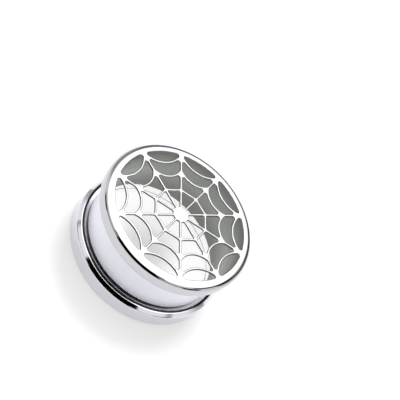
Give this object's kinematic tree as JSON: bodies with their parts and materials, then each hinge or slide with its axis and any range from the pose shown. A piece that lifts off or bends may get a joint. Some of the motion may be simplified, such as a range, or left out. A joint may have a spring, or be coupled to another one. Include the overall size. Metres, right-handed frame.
{
  "type": "ear tunnel",
  "caption": "Screw-fit steel ear tunnel: thin barrel with a rounded front flange whose face is cut through as a spider web, and a rounded back ring that screws on behind the lobe.",
  "frame": {"origin": "on the axis, in the plane of the back ring's rear face, which the part stands on", "axes": "+Z along the axis from the back ring to the web; +Y along one spoke of the web; +X completes the right-handed frame"},
  "size_m": [0.0284, 0.0284, 0.0134],
  "materials": {
    "tunnel_steel": "stainless steel, mirror polished outside, turned and duller in the bore",
    "ring_steel": "stainless steel, mirror polished"
  },
  "bodies": {
    "ring_body": {"back_ring": "ring_steel"},
    "tunnel_body": {"tunnel": "tunnel_steel"}
  },
  "joints": [
    {"name": "ring_off", "type": "slide", "parent": "ring_body", "child": "tunnel_body", "axis": [0, 0, 1], "range_m": [0, 0.012]}
  ]
}
